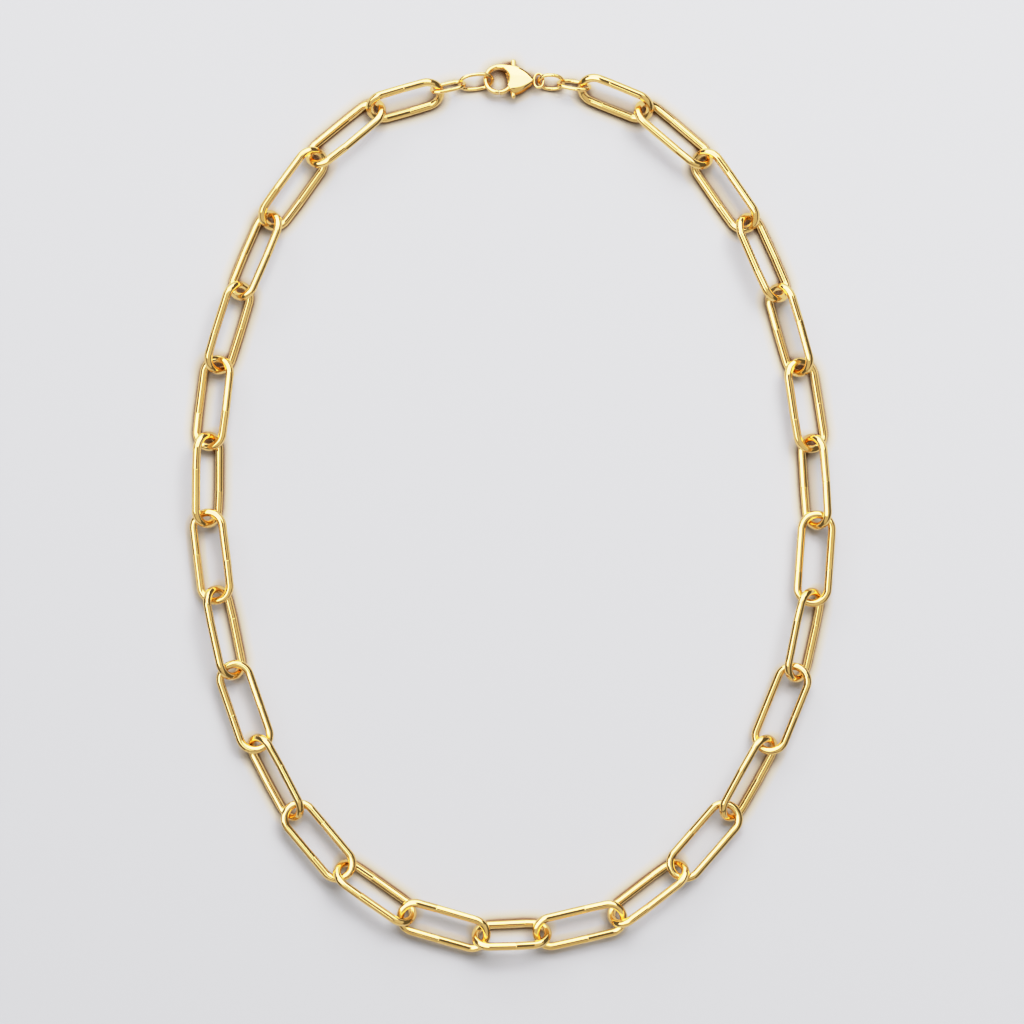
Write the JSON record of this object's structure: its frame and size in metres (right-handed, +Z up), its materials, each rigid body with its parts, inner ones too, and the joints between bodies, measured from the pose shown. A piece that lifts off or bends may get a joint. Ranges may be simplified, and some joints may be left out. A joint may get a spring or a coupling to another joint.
{
  "type": "choker",
  "caption": "Choker of long oval wire links lying in an egg-shaped loop, closed by a lobster clasp with a sprung lever.",
  "frame": {"origin": "the point on the surface it lies on, under the middle of the choker's outer box", "axes": "+Z up from the surface, +Y along the loop's length towards the clasp, +X to the clasp's tail side"},
  "size_m": [0.1119, 0.1547, 0.0054],
  "materials": {
    "gold_link": "polished yellow gold plate",
    "gold_jump": "polished yellow gold plate",
    "gold_clasp": "polished cast yellow gold plate"
  },
  "bodies": {
    "chain": {"link_01": "gold_link", "link_02": "gold_link", "link_03": "gold_link", "link_04": "gold_link", "link_05": "gold_link", "link_06": "gold_link", "link_07": "gold_link", "link_08": "gold_link", "link_09": "gold_link", "link_10": "gold_link", "link_11": "gold_link", "link_12": "gold_link", "link_13": "gold_link", "link_14": "gold_link", "link_15": "gold_link", "link_16": "gold_link", "link_17": "gold_link", "link_18": "gold_link", "link_19": "gold_link", "link_20": "gold_link", "link_21": "gold_link", "link_22": "gold_link", "link_23": "gold_link", "link_24": "gold_link", "link_25": "gold_link", "link_26": "gold_link", "link_27": "gold_link", "link_28": "gold_link", "link_29": "gold_link", "left_outer_jump": "gold_jump", "left_claw_jump": "gold_jump", "right_tail_jump": "gold_jump", "right_outer_jump": "gold_jump", "clasp_body": "gold_clasp", "clasp_pin": "gold_clasp"},
    "lever": {"clasp_lever": "gold_clasp"}
  },
  "joints": [
    {"name": "clasp_lever_hinge", "type": "hinge", "parent": "chain", "child": "lever", "pos_m": [0.00012, 0.0725, 0.00187], "axis": [0, -0.2079, -0.9781], "range_deg": [0, 25], "stiffness_Nm_per_rad": 0.009}
  ]
}
